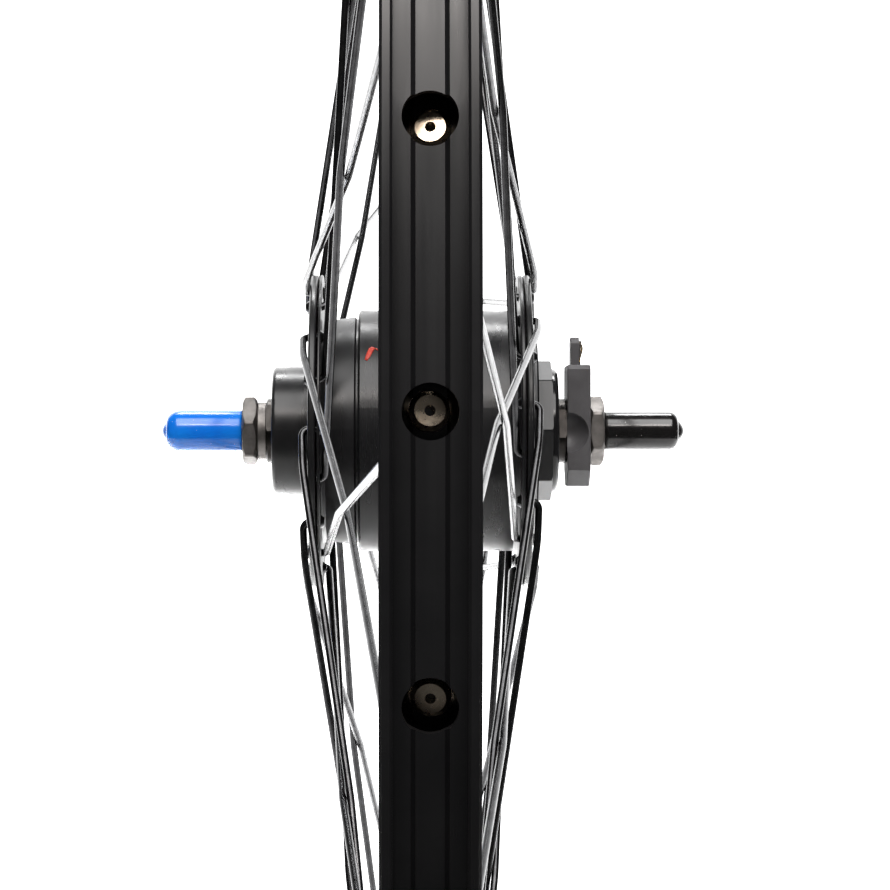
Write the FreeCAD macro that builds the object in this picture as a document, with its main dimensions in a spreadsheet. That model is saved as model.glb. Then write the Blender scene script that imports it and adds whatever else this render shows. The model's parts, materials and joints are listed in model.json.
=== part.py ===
import FreeCAD, Part
import math
import os
import re
import Sketcher

# Bicycle front wheel with a hub dynamo, without its tyre.
# The axle lies along +Y with the lamp connector at its +Y end, and +Z is up.
# The origin is the wheel's centre: the axle's axis in the middle plane of the rim.
# Revolved outlines are given as (radius, place along the axle).

SIZES = {
    # axle and what is clamped on it
    "over_locknuts": 100,
    "axle_radius": 4.5,
    "axle_tip": 68,
    "axle_chamfer": 1.2,
    "slot_width": 1.4,
    "slot_depth": 1.6,
    "slot_start": 12,
    "slot_end": 42.6,
    "edge_break": 0.4,
    "nut_across": 17,
    "nut_width": 4,
    "nut_radius": 9.6,
    "nut_face_radius": 8.3,
    "nut_chamfer": 0.75,
    "nut_sink_radius": 5.9,
    "washer_radius": 7.9,
    "washer_width": 2.6,
    "collar_radius": 8.95,
    "collar_across": 16,
    "collar_width": 2.1,
    "cone_reach": 2.2,
    "cone_chamfer": 0.5,
    # cup and cone bearings
    "ball_radius": 2.381,
    "ball_count": 9,
    "ball_circle": 9.6,
    "race_gap": 0.05,
    "ball_left": -37,
    "ball_right": 31.6,
    "cup_radius": 14,
    "cup_behind": 4.2,
    "cup_front": 2.6,
    "cup_throat": 10.25,
    "cup_relief": 11.05,
    "lip_radius": 12.4,
    "seal_gap": 0.4,
    "seal_left_sunk": 0.4,
    "seal_left_width": 1.1,
    "seal_right_width": 0.7,
    "retainer_start": 1,
    "retainer_end": 2.7,
    "retainer_radius": 11.6,
    # generator
    "core_radius": 6.5,
    "sleeve_radius": 7,
    "yoke_radius": 25.5,
    "yoke_start": 14,
    "yoke_thickness": 2,
    "claw_count": 14,
    "claw_angle": 9,
    "claw_gap": 2,
    "coil_radius": 22,
    "bobbin_radius": 23,
    "bobbin_half": 13.5,
    "bobbin_wall": 1.2,
    "magnet_bore": 26,
    "magnet_radius": 29.2,
    "magnet_half": 14,
    "magnet_angle": 88,
    "ring_overlap": 1,
    "lead_radius": 0.5,
    "lead_height": 3.7,
    "lead_gap": 0.2,
    # hub
    "drum_radius": 33.35,
    "drum_bore": 30.8,
    "drum_start": -17.8,
    "drum_chamfer": 0.6,
    "drum_flare": 1.4,
    "drill_margin": 1,
    "flange_radius": 43.2,
    "flange_chamfer": 0.3,
    "plate_round": 0.7,
    "flange_hole_radius": 1.4,
    "hole_circle": 38.5,
    "holes_per_flange": 18,
    "left_face": 30.9,
    "left_thick_back": 28.8,
    "left_thin_front": 28.4,
    "left_back": 27.7,
    "right_face": 29.3,
    "right_thick_back": 27.4,
    "right_thin_front": 27.2,
    "right_back": 26,
    "housing_radius": 17.75,
    "housing_end": 41.6,
    "housing_foot": 32.7,
    "housing_bore": 17,
    "housing_round": 1.2,
    "housing_collar_radius": 18.75,
    "housing_collar_end": 31.6,
    "housing_disc_radius": 29.3,
    "housing_step": 2.9,
    "bell_bore": 28.3,
    "bell_wall": 2,
    "bell_waist": 30.5,
    "bell_shoulder": 31.6,
    "bell_fillet": 1.1,
    "bell_seam_radius": 31,
    "bell_seam_width": 0.5,
    "bell_spigot_gap": 1.2,
    "lid_radius": 32,
    "lid_chamfer": 1,
    "lid_recess_radius": 27,
    "lid_recess": 0.6,
    "lid_recess_slope": 0.5,
    "lid_spigot": 8,
    "lid_spigot_wall": 3,
    "lid_plate": 3.5,
    "lid_edge": 0.3,
    "lid_step": 31.2,
    "lid_end": 35.4,
    "lid_across": 36,
    "lid_corner_radius": 19.4,
    "dust_cap_radius": 17.35,
    "dust_cap_end": 37.1,
    "dust_cap_round": 1.3,
    # rim: the bead seat of a 622 mm tyre
    "bead_seat": 311,
    "rim_radius": 317,
    "rim_half": 9.4,
    "rim_foot": 297.2,
    "rim_foot_half": 2.2,
    "rim_flank": 299.6,
    "rim_flank_half": 5.3,
    "rim_shoulder": 306.5,
    "rim_chamfer": 0.6,
    "rim_wall": 2,
    "cavity_foot_half": 3.1,
    "cavity_flank": 301.2,
    "cavity_flank_half": 5,
    "cavity_shoulder": 306.8,
    "cavity_half": 7.9,
    "cavity_top": 309.3,
    "cavity_well": 307.7,
    "joint_gap": 0.1,
    "hook_half": 6.9,
    "hook_root": 7.7,
    "hook_nose": 0.5,
    "hook_lip": 2.2,
    "hook_base": 3,
    "bed_chamfer": 0.3,
    "well_half": 3,
    "well_radius": 309.3,
    "nipple_hole_radius": 2.6,
    "access_radius": 5.25,
    "access_start": 304.2,
    "bore_margin": 2,
    "valve_radius": 3.25,
    "joint_angle": 6,
    "rim_holes": 36,
    # spokes: laced three-cross, so each runs three hole steps round the hub
    "spoke_radius": 1,
    "lacing_steps": 3,
    "spoke_count": 9,
    "spoke_end": 300.2,
    "rim_offset": 0.3,
    "elbow_radius": 2.2,
    "elbow_rise": 1.55,
    "elbow_drop": 1.3,
    "edge_rise": 1.25,
    "bend_radius": 60,
    "edge_run": 11,
    "crossing_left": 19.7,
    "crossing_right": 18.3,
    "crossing_gap": 1.04,
    "head_radius": 1.9,
    "head_height": 1,
    "head_taper": 0.6,
    "hole_step": 20,
    "wheel_turn": 0.2,
    # nipples
    "nipple_radius": 2,
    "nipple_head_radius": 3.8,
    "nipple_length": 12,
    "nipple_bore_gap": 0.02,
    "nipple_chamfer": 0.2,
    "nipple_cone": 1,
    "nipple_head_side": 2.3,
    "nipple_head_height": 3,
    "nipple_head_dome": 0.9,
    "nipple_seat": 0.45,
    # lamp connector
    "connector_half": 10.5,
    "connector_top": 18.1,
    "connector_foot": -15.35,
    "connector_start": 39.6,
    "connector_chamfer": 1.2,
    "connector_slope_x": 6,
    "connector_slope_z": 4.4,
    "connector_round": 0.5,
    "connector_back_round": 0.3,
    "connector_bore_depth": 10,
    "scoop_radius": 5.85,
    "scoop_outside": 1.9,
    "scoop_lift": -0.6,
    "scoop_inset": 0.3,
    "tongue_half": 5,
    "tongue_start": 40.8,
    "tongue_thickness": 3.1,
    "tongue_top": 25.9,
    "tongue_chamfer": 1.6,
    "tongue_round": 0.4,
    "contact_half": 0.8,
    "contact_thickness": 0.35,
    "contact_foot": 1,
    "contact_top_gap": 1.4,
    "contact_place": 2.5,
    # vinyl caps on the axle ends
    "cap_mouth": 50.2,
    "cap_bore": 4.6,
    "cap_end_gap": 0.4,
    "cap_bore_chamfer": 1,
    "cap_tip": 72.5,
    "cap_dome_end": 70.8,
    "cap_nub_radius": 2.9,
    "cap_dome_share": 0.96,
    "cap_left_radius": 5.7,
    "cap_right_radius": 5.35,
}

V = FreeCAD.Vector
doc = FreeCAD.newDocument("dynamo_wheel")
sheet = doc.addObject("Spreadsheet::Sheet", "Sizes")
finished = []


def fill_sheet():
    """Write every driving dimension into the sheet as plain text, with its alias."""
    for row, (alias, size) in enumerate(SIZES.items(), start=1):
        sheet.set(f"A{row}", alias)
        sheet.set(f"B{row}", str(size))
        sheet.setAlias(f"B{row}", alias)
    doc.recompute()


def full(text):
    """An expression with each alias written out as a reference to the sheet."""
    return re.sub(r"[a-z][a-z_]*", lambda word: f"Sizes.{word[0]}" if word[0] in SIZES else word[0], text)


def value(text):
    """The number that an expression gives."""
    result = sheet.evalExpression(full(text))
    return float(getattr(result, "Value", result))


def bind(thing, prop, text):
    """Tie one property to an expression of the sheet's cells."""
    thing.setExpression(prop, full(text))


# ---------------------------------------------------------------- sketches


def new_body(label):
    """An empty body for one sub-part."""
    body = doc.addObject("PartDesign::Body", label)
    body.Label = label
    finished.append(body)
    return body


def origin_part(body, role):
    """One of the body's own origin planes or axes."""
    return [item for item in body.Origin.OriginFeatures if item.Role == role][0]


def new_sketch(body, plane="XY_Plane", lift="0"):
    """A sketch on one of the body's origin planes, lifted off it along its normal."""
    sketch = body.newObject("Sketcher::SketchObject", "sketch")
    sketch.AttachmentSupport = [(origin_part(body, plane), "")]
    sketch.MapMode = "FlatFace"
    if lift != "0":
        bind(sketch, "AttachmentOffset.Base.z", lift)
    return sketch


def pin(sketch, item, end, x, y):
    """Hold one end of a sketch line at the place that two expressions give."""
    for kind, text, axis in (("DistanceX", x, -2), ("DistanceY", y, -1)):
        if text == "0":
            sketch.addConstraint(Sketcher.Constraint("PointOnObject", item, end, axis))
        else:
            index = sketch.addConstraint(Sketcher.Constraint(kind, -1, 1, item, end, value(text)))
            bind(sketch, f"Constraints[{index}]", text)


def add_outline(sketch, corners):
    """A closed outline of straight lines through corners given as pairs of expressions."""
    places = [V(value(x), value(y), 0) for x, y in corners]
    first = sketch.GeometryCount
    count = len(places)
    for index in range(count):
        sketch.addGeometry(Part.LineSegment(places[index], places[(index + 1) % count]))
    for index in range(count):
        following = first + (index + 1) % count
        sketch.addConstraint(Sketcher.Constraint("Coincident", first + index, 2, following, 1))
    for index, (x, y) in enumerate(corners):
        pin(sketch, first + index, 1, x, y)


def add_circle(sketch, x, y, radius):
    """A circle whose centre and radius are expressions."""
    circle = Part.Circle(V(value(x), value(y), 0), V(0, 0, 1), value(radius))
    item = sketch.addGeometry(circle)
    index = sketch.addConstraint(Sketcher.Constraint("Radius", item, value(radius)))
    bind(sketch, f"Constraints[{index}]", radius)
    pin(sketch, item, 3, x, y)


def tangent_arc(before, corner, after, radius):
    """The arc of one radius that rounds the corner between two straight runs."""
    back = (before - corner).normalize()
    onward = (after - corner).normalize()
    half = back.getAngle(onward) / 2
    reach = radius / math.tan(half)
    centre = corner + (back + onward).normalize() * (radius / math.sin(half))
    first = corner + back * reach - centre
    last = corner + onward * reach - centre
    if first.cross(last).z < 0:
        first, last = last, first
    start = math.atan2(first.y, first.x)
    circle = Part.Circle(centre, V(0, 0, 1), radius)
    return Part.ArcOfCircle(circle, start, start + first.getAngle(last))


def add_bent_path(sketch, corners, radii):
    """Straight runs through corners given as expressions, each inner corner rounded by a tangent arc."""
    places = [V(value(x), value(y), 0) for x, y in corners]
    arcs = []
    for index, radius in enumerate(radii, start=1):
        arcs.append(tangent_arc(places[index - 1], places[index], places[index + 1], value(radius)))
    ends = [places[0]]
    for index, arc in enumerate(arcs, start=1):
        first, last = arc.StartPoint, arc.EndPoint
        if (first - places[index - 1]).Length > (last - places[index - 1]).Length:
            first, last = last, first
        ends += [first, last]
    ends.append(places[-1])
    runs = [sketch.addGeometry(Part.LineSegment(a, b)) for a, b in zip(ends[0::2], ends[1::2])]
    for index, (arc, radius) in enumerate(zip(arcs, radii)):
        bend = sketch.addGeometry(arc)
        before, after = runs[index], runs[index + 1]
        drawn = sketch.Geometry[bend]
        forward = (drawn.StartPoint - ends[2 * index + 1]).Length < 1e-6
        near, far = (1, 2) if forward else (2, 1)
        sketch.addConstraint(Sketcher.Constraint("Tangent", before, 2, bend, near))
        sketch.addConstraint(Sketcher.Constraint("Tangent", bend, far, after, 1))
        limit = sketch.addConstraint(Sketcher.Constraint("Radius", bend, value(radius)))
        bind(sketch, f"Constraints[{limit}]", radius)
        mark = sketch.addGeometry(Part.Point(places[index + 1]), True)
        sketch.addConstraint(Sketcher.Constraint("PointOnObject", mark, 1, before))
        sketch.addConstraint(Sketcher.Constraint("PointOnObject", mark, 1, after))
        pin(sketch, mark, 1, *corners[index + 1])
    pin(sketch, runs[0], 1, *corners[0])
    pin(sketch, runs[-1], 2, *corners[-1])


# ---------------------------------------------------------------- features


def add_feature(body, kind):
    """A PartDesign feature, which becomes the body's tip."""
    feature = body.newObject(f"PartDesign::{kind}", kind.lower())
    body.Tip = feature
    return feature


def revolve(body, sketch, angle="360", axis="V_Axis"):
    """Turn a sketch about one of its own axes."""
    feature = add_feature(body, "Revolution")
    feature.Profile = sketch
    feature.ReferenceAxis = (sketch, [axis])
    bind(feature, "Angle", angle)
    return feature


def cut_ring(body, sketch):
    """Cut the ring that a sketch sweeps about the axle, and make sure that it cuts something."""
    doc.recompute()
    before = body.Shape.Volume
    feature = add_feature(body, "Groove")
    feature.Profile = sketch
    feature.ReferenceAxis = (sketch, ["V_Axis"])
    feature.Angle = 360
    doc.recompute()
    if body.Shape.Volume >= before:
        raise ValueError(f"{body.Label}: the groove cuts nothing")
    return feature


def turned(label, *outlines):
    """A body turned about the axle from one or more closed outlines."""
    body = new_body(label)
    sketch = new_sketch(body)
    for corners in outlines:
        add_outline(sketch, corners)
    revolve(body, sketch)
    return body


def repeat(body, features, count, angle="360"):
    """Repeat features evenly about the axle."""
    pattern = add_feature(body, "PolarPattern")
    pattern.Originals = features
    pattern.Axis = (origin_part(body, "Y_Axis"), [""])
    bind(pattern, "Occurrences", count)
    bind(pattern, "Angle", angle)
    return pattern


def primitive(body, kind, turn=(0, 0, 1, 0), **sizes):
    """A PartDesign primitive; x, y and z place it and the other sizes are its own properties."""
    feature = add_feature(body, kind)
    *axis, angle = turn
    feature.Placement = FreeCAD.Placement(V(0, 0, 0), FreeCAD.Rotation(V(*axis), angle))
    for name, text in sizes.items():
        bind(feature, f"Placement.Base.{name}" if name in "xyz" else name, text)
    return feature


def drill_flange(body, start, end):
    """The spoke holes of a flange between two places along the axle."""
    hole = primitive(
        body, "SubtractiveCylinder", (1, 0, 0, -90), x="hole_circle", y=f"{start} - drill_margin",
        Radius="flange_hole_radius", Height=f"{end} - ({start}) + 2 * drill_margin",
    )
    repeat(body, [hole], "holes_per_flange")


def flatten(body, across, start, width, count):
    """Flats round the axle, such as those of a nut, of a width along it."""
    reach = "over_locknuts"
    box = primitive(
        body, "SubtractiveBox", x=f"({across}) / 2", y=start, z=f"-({reach}) / 2",
        Length=reach, Width=width, Height=reach,
    )
    repeat(body, [box], count)


def round_edges(body, radius, places):
    """Fillet the body's circular edges at the given radii and places along the axle."""
    doc.recompute()
    base = body.Tip
    wanted = [(value(r), value(y)) for r, y in places]
    names = []
    for index, edge in enumerate(base.Shape.Edges, start=1):
        circle = edge.Curve
        if not isinstance(circle, Part.Circle):
            continue
        if any(abs(circle.Radius - r) < 0.01 and abs(circle.Center.y - y) < 0.01 for r, y in wanted):
            names.append(f"Edge{index}")
    if len(names) < len(wanted):
        raise ValueError(f"{body.Label}: only {len(names)} edges found to round")
    fillet = add_feature(body, "Fillet")
    fillet.Base = (base, names)
    bind(fillet, "Radius", radius)


def turn_about_axle(body, angle):
    """Turn a body about the axle, from +X towards +Z."""
    body.Placement = FreeCAD.Placement(V(0, 0, 0), FreeCAD.Rotation(V(0, -1, 0), value(angle)))
    bind(body, "Placement.Rotation.Angle", angle)


# ---------------------------------------------------------------- axle and its fittings


def make_axle():
    """The rod through the hub, with a groove along its top for the lead."""
    body = turned("axle", [
        ("0", "-axle_tip"),
        ("axle_radius - axle_chamfer", "-axle_tip"),
        ("axle_radius", "-axle_tip + axle_chamfer"),
        ("axle_radius", "axle_tip - axle_chamfer"),
        ("axle_radius - axle_chamfer", "axle_tip"),
        ("0", "axle_tip"),
    ])
    primitive(
        body, "SubtractiveBox", x="-slot_width / 2", y="slot_start", z="axle_radius - slot_depth",
        Length="slot_width", Width="slot_end - slot_start", Height="slot_depth + 1",
    )


def make_locknut(label, side, angle):
    """A hexagon nut with chamfered corners, sunk outside for the mouth of the axle cap."""
    inner = f"{side} * (over_locknuts / 2 - nut_width)"
    outer = f"{side} * over_locknuts / 2"
    body = turned(label, [
        ("axle_radius", inner),
        ("nut_face_radius", inner),
        ("nut_radius", f"{inner} + {side} * nut_chamfer"),
        ("nut_radius", f"{outer} - {side} * nut_chamfer"),
        ("nut_face_radius", outer),
        ("nut_sink_radius", outer),
        ("axle_radius", f"{outer} - {side} * (nut_sink_radius - axle_radius)"),
    ])
    flatten(body, "nut_across", "-over_locknuts", "2 * over_locknuts", "6")
    turn_about_axle(body, angle)


def make_lock_washer():
    """The washer between the left nut and its cone."""
    outer = "-(over_locknuts / 2 - nut_width)"
    inner = "-(over_locknuts / 2 - nut_width - washer_width)"
    turned("lock_washer_left", [
        ("axle_radius", outer),
        ("washer_radius - edge_break", outer),
        ("washer_radius", f"{outer} + edge_break"),
        ("washer_radius", f"{inner} - edge_break / 2"),
        ("washer_radius - edge_break / 2", inner),
        ("axle_radius", inner),
    ])


def make_cone(label, side, outboard, ball, angle):
    """A bearing cone: a collar with two wrench flats outside, and the race that the balls roll on."""
    throat = "ball_circle - ball_radius - race_gap"
    body = turned(label, [
        ("axle_radius", outboard),
        ("collar_radius - edge_break", outboard),
        ("collar_radius", f"{outboard} - {side} * edge_break"),
        ("collar_radius", ball),
        (throat, ball),
        (throat, f"{ball} - {side} * (cone_reach - cone_chamfer)"),
        (f"{throat} - cone_chamfer", f"{ball} - {side} * cone_reach"),
        ("axle_radius", f"{ball} - {side} * cone_reach"),
    ])
    race = new_sketch(body)
    add_circle(race, "ball_circle", ball, "ball_radius + race_gap")
    cut_ring(body, race)
    start = outboard if side < 0 else f"{outboard} - collar_width"
    flatten(body, "collar_across", start, "collar_width", "2")
    turn_about_axle(body, angle)


def make_sleeve(label, start, end):
    """A plain spacer sleeve on the axle."""
    turned(label, [
        ("axle_radius", start),
        ("sleeve_radius", start),
        ("sleeve_radius", end),
        ("axle_radius", end),
    ])


# ---------------------------------------------------------------- generator


def make_core():
    """The iron core inside the coil, between the two yokes."""
    turned("stator_core", [
        ("axle_radius", "-yoke_start"),
        ("core_radius", "-yoke_start"),
        ("core_radius", "yoke_start"),
        ("axle_radius", "yoke_start"),
    ])


def make_yoke(label, side):
    """A claw pole yoke: a disc with a ring of claws that reach over the coil."""
    near = f"{side} * yoke_start"
    far = f"{side} * (yoke_start + yoke_thickness)"
    body = turned(label, [
        ("axle_radius", near),
        ("yoke_radius", near),
        ("yoke_radius", far),
        ("axle_radius", far),
    ])
    claw = new_sketch(body)
    add_outline(claw, [
        ("yoke_radius - yoke_thickness", near),
        ("yoke_radius", near),
        ("yoke_radius", f"-{side} * (yoke_start - claw_gap)"),
        ("yoke_radius - yoke_thickness / 2", f"-{side} * (yoke_start - claw_gap)"),
    ])
    feature = revolve(body, claw, "claw_angle")
    repeat(body, [feature], "claw_count")
    turn_about_axle(body, f"{side} * 90 / claw_count")


def make_coil():
    """The plastic bobbin and the copper winding on it."""
    turned("coil_bobbin", [
        ("core_radius", "-bobbin_half"),
        ("bobbin_radius", "-bobbin_half"),
        ("bobbin_radius", "-bobbin_half + bobbin_wall"),
        ("core_radius + bobbin_wall", "-bobbin_half + bobbin_wall"),
        ("core_radius + bobbin_wall", "bobbin_half - bobbin_wall"),
        ("bobbin_radius", "bobbin_half - bobbin_wall"),
        ("bobbin_radius", "bobbin_half"),
        ("core_radius", "bobbin_half"),
    ])
    turned("coil_winding", [
        ("core_radius + bobbin_wall", "-bobbin_half + bobbin_wall"),
        ("coil_radius", "-bobbin_half + bobbin_wall"),
        ("coil_radius", "bobbin_half - bobbin_wall"),
        ("core_radius + bobbin_wall", "bobbin_half - bobbin_wall"),
    ])


def make_lead():
    """The insulated lead in the axle's groove, from the stator to the connector."""
    body = new_body("coil_lead")
    primitive(
        body, "AdditiveCylinder", (1, 0, 0, -90), y="slot_start + lead_gap", z="lead_height",
        Radius="lead_radius", Height="slot_end - slot_start - 2 * lead_gap",
    )


def make_magnets():
    """Four magnet segments on the inside of an iron backing ring."""
    body = new_body("magnet_segments")
    sketch = new_sketch(body)
    add_outline(sketch, [
        ("magnet_bore", "-magnet_half"),
        ("magnet_radius", "-magnet_half"),
        ("magnet_radius", "magnet_half"),
        ("magnet_bore", "magnet_half"),
    ])
    segment = revolve(body, sketch, "magnet_angle")
    repeat(body, [segment], "4")
    turned("magnet_backing_ring", [
        ("magnet_radius", "-magnet_half - ring_overlap"),
        ("drum_bore", "-magnet_half - ring_overlap"),
        ("drum_bore", "magnet_half + ring_overlap"),
        ("magnet_radius", "magnet_half + ring_overlap"),
    ])


# ---------------------------------------------------------------- hub


def make_hub_shell():
    """The drum, with the thin right flange at its end."""
    body = turned("hub_shell", [
        ("drum_bore", "drum_start"),
        ("drum_radius - drum_chamfer", "drum_start"),
        ("drum_radius", "drum_start + drum_chamfer"),
        ("drum_radius", "right_back - drum_flare"),
        ("drum_radius + drum_flare", "right_back"),
        ("flange_radius - flange_chamfer", "right_back"),
        ("flange_radius", "right_back + flange_chamfer"),
        ("flange_radius", "right_thin_front - flange_chamfer"),
        ("flange_radius - flange_chamfer", "right_thin_front"),
        ("drum_bore", "right_thin_front"),
    ])
    drill_flange(body, "right_back", "right_thin_front")
    turn_about_axle(body, "wheel_turn + hole_step / 2")


def make_end_bell():
    """The tapered left end of the hub, with the thin left flange and a spigot in the drum."""
    body = turned("end_bell_left", [
        ("housing_bore", "-left_thick_back"),
        ("drum_bore", "-left_thick_back"),
        ("drum_bore", "-left_thin_front"),
        ("flange_radius - edge_break / 2", "-left_thin_front"),
        ("flange_radius", "-left_thin_front + edge_break / 2"),
        ("flange_radius", "-left_back - edge_break / 2"),
        ("flange_radius - edge_break / 2", "-left_back"),
        ("bell_shoulder", "-left_back"),
        ("bell_waist", "-left_back + bell_fillet"),
        ("bell_shoulder", "drum_start - 2 * bell_seam_width"),
        ("bell_seam_radius", "drum_start - bell_seam_width"),
        ("bell_seam_radius", "drum_start"),
        ("drum_bore", "drum_start"),
        ("drum_bore", "-magnet_half - bell_spigot_gap"),
        ("bell_bore", "-magnet_half - bell_spigot_gap"),
        ("bell_bore", "-left_back + bell_wall"),
        ("housing_bore", "-left_back + bell_wall"),
    ])
    drill_flange(body, "-left_thin_front", "-left_back")
    turn_about_axle(body, "wheel_turn")


def make_flange_plate(label, near, far, angle):
    """A thick flange plate on the outside of the thin one, clamped by the spokes."""
    body = turned(label, [
        ("drum_bore", near),
        ("drum_bore", far),
        ("flange_radius", far),
        ("flange_radius", near),
    ])
    round_edges(body, "plate_round", [("flange_radius", near), ("flange_radius", far)])
    drill_flange(body, near, far)
    turn_about_axle(body, angle)


def make_bearing_housing():
    """The turned cylinder at the left end that holds the left cup and seal."""
    body = turned("bearing_housing_left", [
        ("cup_radius", "ball_left + cup_behind"),
        ("cup_radius", "ball_left - cup_front"),
        ("lip_radius", "ball_left - cup_front"),
        ("lip_radius", "-housing_end"),
        ("housing_radius", "-housing_end"),
        ("housing_radius", "-housing_foot"),
        ("housing_collar_radius", "-housing_foot"),
        ("housing_collar_radius", "-housing_collar_end"),
        ("housing_disc_radius", "-left_face"),
        ("housing_disc_radius", "-left_thick_back"),
        ("housing_bore", "-left_thick_back"),
        ("housing_bore", "-left_thick_back + housing_step"),
        ("cup_relief", "-left_thick_back + housing_step"),
        ("cup_relief", "ball_left + cup_behind"),
    ])
    round_edges(body, "housing_round", [("housing_radius", "-housing_end")])


def make_lid():
    """The right lid: a spigot screwed into the drum, a stepped disc and the eight-sided grip."""
    body = turned("lid_right", [
        ("cup_radius", "ball_right - cup_behind"),
        ("cup_radius", "ball_right + cup_front"),
        ("lip_radius", "ball_right + cup_front"),
        ("lip_radius", "lid_end"),
        ("lid_corner_radius - lid_edge", "lid_end"),
        ("lid_corner_radius", "lid_end - lid_edge"),
        ("lid_corner_radius", "lid_step"),
        ("lid_recess_radius", "lid_step"),
        ("lid_recess_radius - lid_recess_slope", "lid_step - lid_recess"),
        ("lid_radius - lid_chamfer", "lid_step - lid_recess"),
        ("lid_radius", "lid_step - 2 * lid_recess"),
        ("lid_radius", "right_face"),
        ("drum_bore", "right_face"),
        ("drum_bore", "right_face - lid_spigot"),
        ("drum_bore - lid_spigot_wall", "right_face - lid_spigot"),
        ("drum_bore - lid_spigot_wall", "right_face - lid_plate"),
        ("cup_relief", "right_face - lid_plate"),
        ("cup_relief", "ball_right - cup_behind"),
    ])
    flatten(body, "lid_across", "lid_step", "lid_end", "8")
    turn_about_axle(body, "180 / 8")


def make_dust_cap():
    """The rounded glossy ring on the outside of the right lid."""
    body = turned("dust_cap_right", [
        ("collar_radius + seal_gap", "lid_end"),
        ("dust_cap_radius", "lid_end"),
        ("dust_cap_radius", "dust_cap_end"),
        ("collar_radius + seal_gap", "dust_cap_end"),
    ])
    round_edges(body, "dust_cap_round", [("dust_cap_radius", "dust_cap_end")])


def make_cup(label, side, ball):
    """A hardened bearing cup, open towards the outside of the hub."""
    outer = "ball_circle + ball_radius + race_gap"
    body = turned(label, [
        ("cup_throat", f"{ball} - {side} * cup_behind"),
        ("cup_radius", f"{ball} - {side} * cup_behind"),
        ("cup_radius", f"{ball} + {side} * cup_front"),
        (outer, f"{ball} + {side} * cup_front"),
        (outer, ball),
        ("cup_throat", ball),
    ])
    race = new_sketch(body)
    add_circle(race, "ball_circle", ball, "ball_radius + race_gap")
    cut_ring(body, race)


def make_seal(label, start, width):
    """A rubber seal ring that clears the cone's collar."""
    end = f"{start} + {width}"
    turned(label, [
        ("collar_radius + seal_gap", start),
        ("lip_radius", start),
        ("lip_radius", end),
        ("collar_radius + seal_gap", end),
    ])


def make_balls(side_name, side, ball):
    """The bearing balls of one side, and the retainer that spaces them."""
    balls = new_body(f"bearing_balls_{side_name}")
    sphere = primitive(balls, "AdditiveSphere", x="ball_circle", y=ball, Radius="ball_radius")
    repeat(balls, [sphere], "ball_count")
    retainer = turned(f"ball_retainer_{side_name}", [
        ("collar_radius + seal_gap", f"{ball} + {side} * retainer_start"),
        ("retainer_radius", f"{ball} + {side} * retainer_start"),
        ("retainer_radius", f"{ball} + {side} * retainer_end"),
        ("collar_radius + seal_gap", f"{ball} + {side} * retainer_end"),
    ])
    pocket = primitive(
        retainer, "SubtractiveSphere", x="ball_circle", y=ball, Radius="ball_radius + race_gap"
    )
    repeat(retainer, [pocket], "ball_count")


# ---------------------------------------------------------------- rim


def mirrored(half):
    """Both halves of an outline whose second coordinate is mirrored."""
    return half + [(x, f"-({y})") for x, y in reversed(half)]


def rim_cavity():
    """Half of the hollow between the rim's two walls, from its foot to its bed."""
    return [
        ("rim_foot + rim_wall", "cavity_foot_half"),
        ("cavity_flank", "cavity_flank_half"),
        ("cavity_shoulder", "cavity_half"),
        ("cavity_top", "cavity_half"),
        ("cavity_top", "well_half + 4 * bed_chamfer"),
        ("cavity_well", "well_half - bed_chamfer"),
    ]


def bore_radially(body, radius, start, end, y, angle, count):
    """Holes that point at the axle, evenly spaced round the wheel from one angle."""
    hole = primitive(
        body, "SubtractiveCylinder", x=f"({start}) * cos({angle})", y=y, z=f"({start}) * sin({angle})",
        Radius=radius, Height=f"{end} - ({start})",
    )
    outward = V(math.cos(math.radians(value(angle))), 0, math.sin(math.radians(value(angle))))
    hole.Placement = FreeCAD.Placement(hole.Placement.Base, FreeCAD.Rotation(V(0, 0, 1), outward))
    if count != "1":
        repeat(body, [hole], count)


def make_rim():
    """The hollow hooked rim with its nipple holes, access holes and valve hole."""
    body = turned("rim", mirrored([
        ("rim_foot", "rim_foot_half"),
        ("rim_flank", "rim_flank_half"),
        ("rim_shoulder", "rim_half"),
        ("rim_radius - rim_chamfer", "rim_half"),
        ("rim_radius", "rim_half - rim_chamfer"),
        ("rim_radius", "hook_half + hook_nose"),
        ("rim_radius - hook_nose", "hook_half"),
        ("rim_radius - hook_lip", "hook_half"),
        ("rim_radius - hook_base", "hook_root"),
        ("bead_seat + bed_chamfer", "hook_root"),
        ("bead_seat", "hook_root - bed_chamfer"),
        ("bead_seat", "well_half + 2 * bed_chamfer"),
        ("well_radius", "well_half - bed_chamfer"),
    ]), mirrored(rim_cavity()))
    start, end = "rim_foot - bore_margin", "spoke_end + bore_margin"
    for y, angle in (("-rim_offset", "0"), ("rim_offset", "hole_step / 2")):
        bore_radially(body, "nipple_hole_radius", start, end, y, angle, "rim_holes / 2")
    bore_radially(body, "access_radius", "access_start", "rim_radius", "0", "0", "rim_holes")
    bore_radially(body, "valve_radius", start, "rim_radius", "0", "hole_step * 4.75", "1")
    turn_about_axle(body, "wheel_turn")


def make_rim_joint():
    """The sleeve inside the rim that joins its two ends, opposite the valve hole."""
    body = new_body("rim_joint_sleeve")
    sketch = new_sketch(body)
    add_outline(sketch, mirrored([
        ("rim_foot + rim_wall + joint_gap", "cavity_foot_half - joint_gap"),
        ("cavity_flank + joint_gap", "cavity_flank_half - joint_gap"),
        ("cavity_shoulder", "cavity_half - joint_gap"),
        ("cavity_well", "cavity_half - joint_gap"),
    ]))
    revolve(body, sketch, "joint_angle")
    turn_about_axle(body, "wheel_turn + hole_step * 13.75 + joint_angle / 2")


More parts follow.
